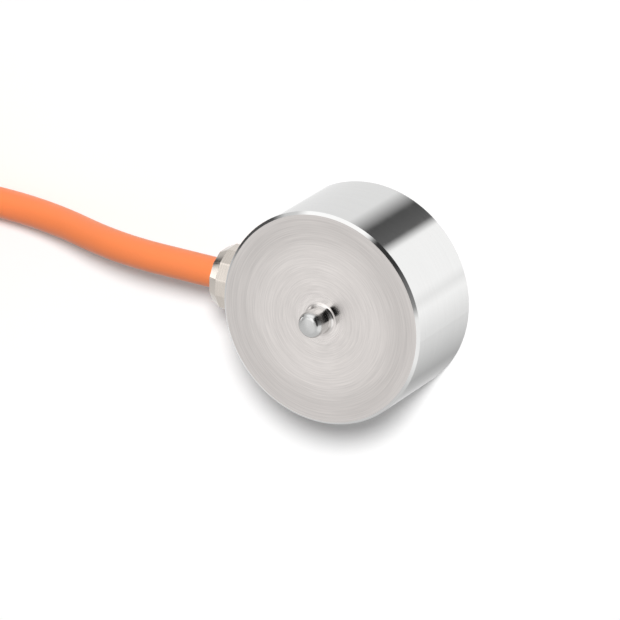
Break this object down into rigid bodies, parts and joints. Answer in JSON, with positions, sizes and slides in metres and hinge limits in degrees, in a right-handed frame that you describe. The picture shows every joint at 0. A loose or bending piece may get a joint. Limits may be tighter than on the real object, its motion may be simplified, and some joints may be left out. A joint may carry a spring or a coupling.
{
  "type": "strain gauge load cell",
  "caption": "Miniature round steel compression load cell with a dome-ended load pin on its membrane, foil gauges inside, a twelve-sided side gland and a tied hank of orange cable.",
  "frame": {"origin": "centre of the seat ring, on the surface that the cell stands on", "axes": "+Z along the load axis towards the load pin; the cable leaves along -X"},
  "size_m": [0.173, 0.033, 0.0172],
  "materials": {
    "body_steel": "turned and fine ground stainless steel",
    "cover_steel": "matt stainless sheet",
    "gland_steel": "bright stainless steel",
    "seal_rubber": "matt black",
    "ferrule_brass": "plain",
    "board_laminate": "green lacquer",
    "tinned_copper": "tinned",
    "resistor_ceramic": "matt",
    "carrier_film": "amber film",
    "gauge_foil": "etched foil",
    "enamelled_wire": "enamelled copper",
    "orange_sheath": "soft satin sheath",
    "nylon": "natural nylon",
    "shrink_sleeve": "shrunk sleeve, satin black",
    "insulation_red": "satin",
    "insulation_black": "satin",
    "insulation_green": "satin",
    "insulation_white": "satin"
  },
  "bodies": {
    "root": {"spring_body": "body_steel", "base_cover": "cover_steel", "cable_gland": "gland_steel", "gland_o_ring": "seal_rubber", "cable_seal": "seal_rubber", "clamp_ferrule": "ferrule_brass", "circuit_board": "board_laminate", "cable_pads": "tinned_copper", "bridge_pads": "tinned_copper", "zero_trim_resistor": "resistor_ceramic", "span_resistor_a": "resistor_ceramic", "span_resistor_b": "resistor_ceramic", "drain_wire": "tinned_copper", "cable": "orange_sheath", "cable_hank": "orange_sheath", "hank_tie": "nylon", "end_sleeve": "shrink_sleeve", "shield_pigtail": "tinned_copper", "tip_shield": "tinned_copper", "gauge_carrier_1": "carrier_film", "gauge_grid_1": "gauge_foil", "bridge_wires_1": "enamelled_wire", "gauge_carrier_2": "carrier_film", "gauge_grid_2": "gauge_foil", "bridge_wires_2": "enamelled_wire", "gauge_carrier_3": "carrier_film", "gauge_grid_3": "gauge_foil", "bridge_wires_3": "enamelled_wire", "gauge_carrier_4": "carrier_film", "gauge_grid_4": "gauge_foil", "bridge_wires_4": "enamelled_wire", "core_red": "insulation_red", "lead_red": "insulation_red", "tip_red": "tinned_copper", "core_black": "insulation_black", "lead_black": "insulation_black", "tip_black": "tinned_copper", "core_green": "insulation_green", "lead_green": "insulation_green", "tip_green": "tinned_copper", "core_white": "insulation_white", "lead_white": "insulation_white", "tip_white": "tinned_copper"}
  },
  "joints": []
}
